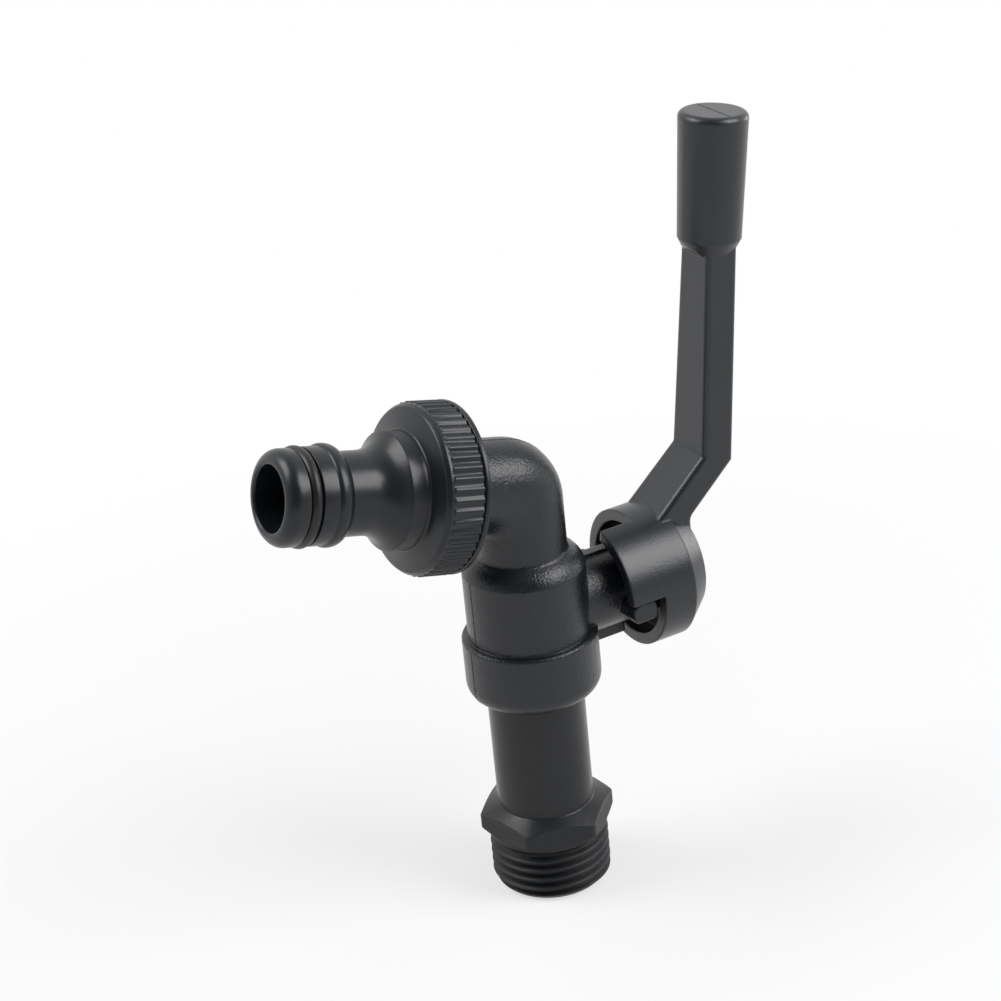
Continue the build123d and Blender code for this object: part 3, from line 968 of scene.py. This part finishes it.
@dataclass
class HoseAdaptor:
    """The hose adaptor: a knurled cap, a flare with a cove behind it and a quick-connect nozzle."""

    cap_rear: float = 13.2
    cap_bore_radius: float = 10.75
    rear_rim_radius: float = 14.49
    rear_rim_round: float = 0.3
    rear_rim_end: float = 14.2
    rear_groove_radius: float = 14.0
    knurl_from: float = 14.35
    knurl_to: float = 19.9
    knurl_radius: float = 14.5
    knurl_end_chamfer: float = 0.15
    ridges: int = 50
    columns_per_ridge: int = 16
    ridge_height: float = 0.38
    front_rim_radius: float = 14.2
    front_rim_end: float = 20.4
    face_edge: float = 21.1
    face_edge_radius: float = 13.7
    rim_round: float = 0.45
    shoulder_from: float = 21.9
    shoulder_to: float = 25.1
    shoulder_radius: float = 9.93
    shoulder_chamfer: float = 0.2
    cove_from: float = 22.4
    cove_to: float = 25.0
    cove_depth: float = 0.45
    cove_steps: int = 8
    flare_end: float = 30.0
    spigot_radius: float = 7.0
    spigot_end: float = 34.2
    latch_from: float = 36.2
    latch_to: float = 36.5
    latch_radius: float = 8.48
    latch_steps: int = 6
    land_from: float = 37.3
    land_radius: float = 8.08
    groove_from: float = 40.1
    groove_to: float = 42.35
    groove_floor: float = 6.23
    groove_round: float = 0.15
    nose_radius: float = 8.0
    nose_round_from: float = 43.9
    nose_end: float = 46.1
    lip_radius: float = 6.2
    bore_radius: float = 5.45
    bore_round: float = 0.5
    bore_steps: int = 6
    washer_seat: float = 19.8

    def knurl(self, angle: float) -> float:
        """Measure how deep the knurl is cut at an angle.

        Args:
            angle: Angle about the outlet's axis.

        Returns:
            Depth below the ridges' tops.
        """
        return self.ridge_height * (0.5 + 0.5 * math.cos(self.ridges * angle))

    def section(self, angle: float) -> Outline:
        """Draw the adaptor's section at an angle.

        Args:
            angle: Angle about the outlet's axis.

        Returns:
            The section's points, as a closed loop.
        """
        ridge = self.knurl_radius - self.knurl(angle)
        cap = rounded(
            (
                (self.cap_rear, self.cap_bore_radius, 0.0),
                (self.cap_rear, self.rear_rim_radius, self.rear_rim_round),
                (self.rear_rim_end, self.rear_rim_radius, self.rear_rim_round),
                (self.rear_rim_end, self.rear_groove_radius, 0.0),
                (self.knurl_from, self.rear_groove_radius, 0.0),
                (self.knurl_from + self.knurl_end_chamfer, ridge, 0.0),
                (self.knurl_to - self.knurl_end_chamfer, ridge, 0.0),
                (self.knurl_to, self.front_rim_radius, 0.0),
                (self.front_rim_end, self.front_rim_radius, self.rim_round),
                (self.face_edge, self.face_edge_radius, self.rim_round),
                (self.shoulder_from, self.shoulder_radius, self.rim_round),
                (self.cove_from, self.shoulder_radius, 0.0),
            )
        )
        shares = [step / self.cove_steps for step in range(1, self.cove_steps + 1)]
        cove = [
            (
                self.cove_from + (self.cove_to - self.cove_from) * share,
                self.shoulder_radius - self.cove_depth * share * (2 - share),
            )
            for share in shares
        ]
        cove += [(self.cove_to, self.shoulder_radius), (self.shoulder_to, self.shoulder_radius)]
        flare = tangent_arc(
            (self.flare_end, self.spigot_radius),
            (self.shoulder_to + self.shoulder_chamfer, self.shoulder_radius - self.shoulder_chamfer),
        )
        latch = tangent_arc((self.latch_from, self.latch_radius), (self.spigot_end, self.spigot_radius))
        latch_front = tangent_arc(
            (self.latch_to, self.latch_radius), (self.land_from, self.land_radius), self.latch_steps
        )
        tip = rounded(
            (
                (self.land_from, self.land_radius, 0.0),
                (self.groove_from, self.land_radius, self.groove_round),
                (self.groove_from, self.groove_floor, 0.0),
                (self.groove_to, self.groove_floor, 0.0),
                (self.groove_to, self.nose_radius, self.groove_round),
                (self.nose_round_from, self.nose_radius, 0.0),
            )
        )
        nose = tangent_arc((self.nose_round_from, self.nose_radius), (self.nose_end, self.lip_radius))
        inside = rounded(
            (
                (self.nose_end, self.lip_radius, 0.0),
                (self.nose_end, self.bore_radius, self.bore_round),
                (self.washer_seat, self.bore_radius, 0.0),
                (self.washer_seat, self.cap_bore_radius, 0.0),
            ),
            self.bore_steps,
        )
        return cap + cove + flare[::-1] + latch[::-1] + latch_front + tip[1:-1] + nose + inside[1:]

    def build(self) -> None:
        """Build the adaptor in place of its solid, and dress its seals."""
        axis = joint_axis("adaptor_screw", Vector((0, 1, 0)))
        columns = self.ridges * self.columns_per_ridge
        piece = turned("hose_adaptor_knurled", axis, self.section, columns)
        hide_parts("hose_adaptor")
        place_piece(piece, Body.ADAPTOR, ADAPTOR_ACETAL)
        dress_node("nose_o_ring", SEAL_NITRILE)
        dress_node("sealing_washer", SEAL_NITRILE)


# Studio


@dataclass(frozen=True)
class Softbox:
    """A square lamp aimed at the object, placed by its bearing from the camera's side."""

    name: str
    bearing_deg: float
    height_deg: float
    distance_m: float
    side_m: float
    watts: float

    def hang(self, target: Vector, front: Vector) -> None:
        """Hang the lamp in its place.

        Args:
            target: The point that it is aimed at.
            front: Level direction from the object to the camera.
        """
        lamp = bpy.data.lights.new(self.name, "AREA")
        lamp.shape = "SQUARE"
        lamp.size = self.side_m
        lamp.energy = self.watts
        level = Matrix.Rotation(math.radians(self.bearing_deg), 3, "Z") @ front
        height = math.radians(self.height_deg)
        toward = level * math.cos(height) + Vector((0, 0, math.sin(height)))
        holder = bpy.data.objects.new(self.name, lamp)
        holder.location = target + toward * self.distance_m
        holder.rotation_euler = (-toward).to_track_quat("-Z", "Y").to_euler()
        bpy.context.scene.collection.objects.link(holder)


@dataclass
class Studio:
    """A white sweep under two high softboxes and a low reflector, darker on the camera's side."""

    floor_half_m: float = 3.0
    floor_colour: str = "#e8e8e8"
    near_m: float = 0.05
    near_glow: float = 0.6
    far_m: float = 0.2
    ambient: float = 0.3
    dark_height_deg: float = 35.0
    dark_level: float = 0.15
    dark_from: float = 0.1
    dark_to: float = 0.95
    softboxes: tuple[Softbox, ...] = (
        Softbox("right_softbox", bearing_deg=72.0, height_deg=40.0, distance_m=0.6, side_m=0.38, watts=3.0),
        Softbox("left_softbox", bearing_deg=-92.0, height_deg=50.0, distance_m=0.6, side_m=0.34, watts=2.2),
        Softbox("low_reflector", bearing_deg=125.0, height_deg=3.0, distance_m=0.6, side_m=0.2, watts=0.5),
    )

    def floor(self) -> None:
        """Lay the floor: white where it is seen or mirrored, and greyer in the object's shadow."""
        level = cad_box[0].z
        half = self.floor_half_m
        quarters = ((-1, -1), (1, -1), (1, 1), (-1, 1))
        corners = [Vector((x * half, y * half, level)) for x, y in quarters]
        piece = mesh_piece("studio_floor", corners, [(0, 1, 2, 3)])
        material = bpy.data.materials.new("matt_white_paper_sweep")
        material.use_nodes = True
        tree = material.node_tree
        tree.nodes.clear()
        paper = add_node(tree, "ShaderNodeBsdfDiffuse", {"Color": linear(self.floor_colour)})
        glow = add_node(tree, "ShaderNodeEmission", {"Color": linear(WHITE), "Strength": 1.0})
        place = add_node(tree, "ShaderNodeTexCoord").outputs["Object"]
        away = add_node(tree, "ShaderNodeVectorMath", {"operation": "LENGTH"}, {0: place})
        bright = add_node(
            tree,
            "ShaderNodeMapRange",
            {"From Min": self.near_m, "From Max": self.far_m, "To Min": self.near_glow, "To Max": 1.0},
            {"Value": away.outputs["Value"]},
        )
        share = add_node(
            tree,
            "ShaderNodeMath",
            {"operation": "MULTIPLY"},
            {0: self.seen(tree), 1: bright.outputs["Result"]},
        )
        blend = add_node(
            tree,
            "ShaderNodeMixShader",
            {},
            {0: share.outputs[0], 1: paper.outputs["BSDF"], 2: glow.outputs["Emission"]},
        )
        add_node(tree, "ShaderNodeOutputMaterial", {}, {"Surface": blend.outputs["Shader"]})
        piece.data.materials.append(material)

    def seen(self, tree: bpy.types.NodeTree) -> bpy.types.NodeSocket:
        """Tell the rays that see a surface, straight or mirrored, from those that light by it.

        Args:
            tree: Node tree that gets the test.

        Returns:
            A socket that is one for camera, glossy and transmission rays.
        """
        ray = add_node(tree, "ShaderNodeLightPath")
        mirrored = add_node(
            tree,
            "ShaderNodeMath",
            {"operation": "MAXIMUM"},
            {0: ray.outputs["Is Glossy Ray"], 1: ray.outputs["Is Transmission Ray"]},
        )
        either = add_node(
            tree,
            "ShaderNodeMath",
            {"operation": "MAXIMUM"},
            {0: mirrored.outputs[0], 1: ray.outputs["Is Camera Ray"]},
        )
        return either.outputs[0]

    def surroundings(self, front: Vector) -> None:
        """Light the room: white where it is seen or mirrored, dimmer high on the camera's side.

        Args:
            front: Level direction from the object to the camera.
        """
        world = bpy.data.worlds.new("white_studio_room")
        world.use_nodes = True
        bpy.context.scene.world = world
        tree = world.node_tree
        tree.nodes.clear()
        way = add_node(tree, "ShaderNodeTexCoord").outputs["Generated"]
        dark_height = math.radians(self.dark_height_deg)
        dark_way = front * math.cos(dark_height) + Vector((0, 0, math.sin(dark_height)))
        facing = add_node(
            tree, "ShaderNodeVectorMath", {"operation": "DOT_PRODUCT", 1: tuple(dark_way)}, {0: way}
        )
        level = add_node(
            tree,
            "ShaderNodeMapRange",
            {"From Min": self.dark_from, "From Max": self.dark_to, "To Min": 1.0, "To Max": self.dark_level},
            {"Value": facing.outputs["Value"]},
        )
        ambient = add_node(
            tree,
            "ShaderNodeMix",
            {"data_type": "FLOAT", MIX_FLOAT_A: self.ambient},
            {MIX_FACTOR: self.seen(tree), MIX_FLOAT_B: level.outputs["Result"]},
        )
        strength = add_node(
            tree,
            "ShaderNodeMath",
            {"operation": "MAXIMUM"},
            {
                0: ambient.outputs[MIX_FLOAT_RESULT],
                1: add_node(tree, "ShaderNodeLightPath").outputs["Is Camera Ray"],
            },
        )
        sky = add_node(
            tree, "ShaderNodeBackground", {"Color": linear(WHITE)}, {"Strength": strength.outputs[0]}
        )
        add_node(tree, "ShaderNodeOutputWorld", {}, {"Surface": sky.outputs["Background"]})

    def build(self, front: Vector) -> None:
        """Set up the floor, the room and the lamps.

        Args:
            front: Level direction from the object to the camera.
        """
        self.floor()
        self.surroundings(front)
        for softbox in self.softboxes:
            softbox.hang((cad_box[0] + cad_box[1]) / 2, front)
        bpy.context.scene.view_settings.view_transform = "Standard"


@dataclass
class Viewpoint:
    """The camera, where the photograph was taken from."""

    azimuth_deg: float = -28.04
    elevation_deg: float = 25.43
    roll_deg: float = -5.76
    eye: tuple[float, float, float] = (-207.86, -384.48, 270.59)
    focal_px: float = 2884.83
    frame_px: int = 1001
    sensor_mm: float = 36.0
    clip_m: float = 0.01

    def front(self) -> Vector:
        """Return the level direction from the object to the camera."""
        azimuth = math.radians(self.azimuth_deg)
        return Vector((math.sin(azimuth), -math.cos(azimuth), 0))

    def build(self) -> None:
        """Place the camera."""
        elevation = math.radians(self.elevation_deg)
        roll = math.radians(self.roll_deg)
        back = self.front() * math.cos(elevation) + Vector((0, 0, math.sin(elevation)))
        right = Vector((0, 0, 1)).cross(back).normalized()
        up = back.cross(right)
        across = right * math.cos(roll) + up * math.sin(roll)
        upward = up * math.cos(roll) - right * math.sin(roll)
        lens = bpy.data.cameras.new("photograph_camera")
        lens.sensor_width = self.sensor_mm
        lens.lens = self.sensor_mm * self.focal_px / self.frame_px
        lens.clip_start = self.clip_m
        camera = bpy.data.objects.new("photograph_camera", lens)
        turn = Matrix((across, upward, back)).transposed()
        camera.matrix_world = Matrix.Translation(Vector(self.eye) * MM) @ turn.to_4x4()
        bpy.context.scene.collection.objects.link(camera)
        bpy.context.scene.camera = camera


def main() -> None:
    """Build the camera, the studio and the pieces."""
    logging.basicConfig(level=logging.INFO, format="%(message)s")
    viewpoint = Viewpoint()
    viewpoint.build()
    Studio().build(viewpoint.front())
    for assembly in (InletTailpiece(), ValveBody(), LeverHandle(), HandleScrew(), HoseAdaptor()):
        assembly.build()


if __name__ == "__main__":
    main()
